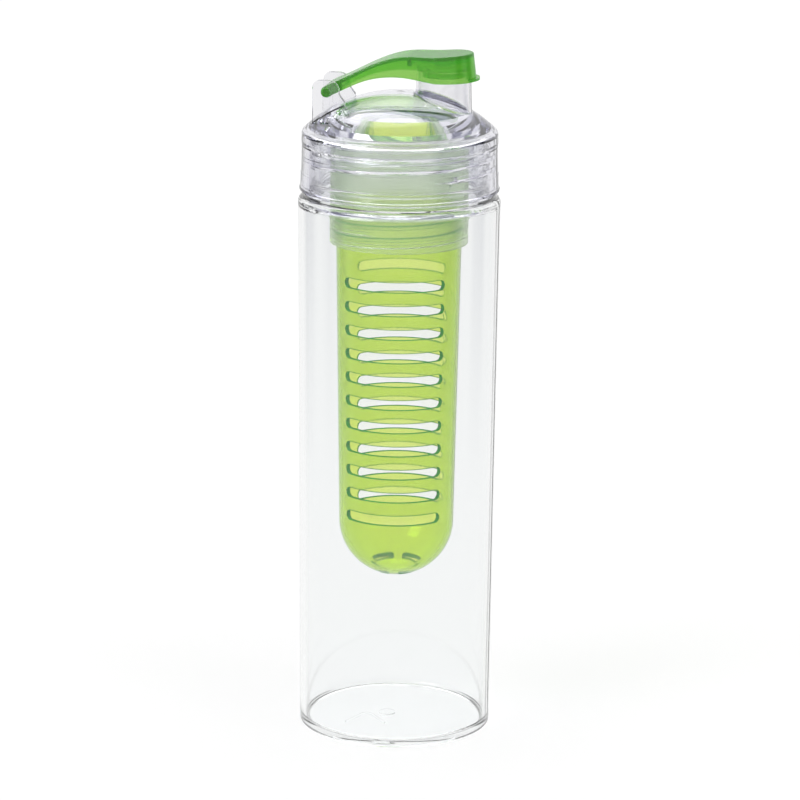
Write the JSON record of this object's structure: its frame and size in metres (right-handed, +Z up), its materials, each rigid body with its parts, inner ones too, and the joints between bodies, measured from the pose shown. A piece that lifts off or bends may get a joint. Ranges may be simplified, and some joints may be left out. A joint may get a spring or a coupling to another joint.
{
  "type": "fruit infuser water bottle",
  "caption": "Clear drinking bottle with a screw lid, a spout under a hinged green flip cap, and a slotted green infuser basket that screws into a frosted collar under the lid.",
  "frame": {"origin": "centre of the foot, on the bottle's axis, in the plane that the bottle stands on", "axes": "+Z up along the bottle's axis; +X towards the spout; the flip cap's hinge line runs along Y on the -X side"},
  "size_m": [0.072, 0.072, 0.2466],
  "materials": {
    "clear_copolyester": "clear, polished",
    "green_cap_plastic": "translucent green, satin gloss",
    "green_basket_plastic": "translucent yellow-green, gloss",
    "frosted_polypropylene": "frosted, translucent",
    "clear_silicone": "milky silicone"
  },
  "bodies": {
    "bottle": {"bottle_body": "clear_copolyester"},
    "lid_ring": {"lid_seal": "clear_silicone"},
    "lid": {"screw_lid": "clear_copolyester", "infuser_collar": "frosted_polypropylene"},
    "cap": {"flip_cap": "green_cap_plastic", "spout_seal": "clear_silicone"},
    "basket_ring": {"basket_seal": "clear_silicone"},
    "basket": {"infuser_basket": "green_basket_plastic"}
  },
  "joints": [
    {"name": "lid_lift", "type": "slide", "parent": "bottle", "child": "lid_ring", "axis": [0, 0, 1], "range_m": [0, 0.0116]},
    {"name": "lid_turn", "type": "hinge", "parent": "lid_ring", "child": "lid", "pos_m": [0, 0, 0], "axis": [0, 0, 1], "range_deg": [0, 990]},
    {"name": "cap_hinge", "type": "hinge", "parent": "lid", "child": "cap", "pos_m": [-0.0247, 0, 0.2323], "axis": [0, -1, 0], "range_deg": [0, 170]},
    {"name": "basket_drop", "type": "slide", "parent": "lid", "child": "basket_ring", "axis": [0, 0, -1], "range_m": [0, 0.00865]},
    {"name": "basket_turn", "type": "hinge", "parent": "basket_ring", "child": "basket", "pos_m": [0, 0, 0], "axis": [0, 0, -1], "range_deg": [0, 720]}
  ],
  "couplings": [
    {"joint": "lid_lift", "follows": "lid_turn", "m_per_rad": 0.00066845},
    {"joint": "basket_drop", "follows": "basket_turn", "m_per_rad": 0.00068437}
  ]
}
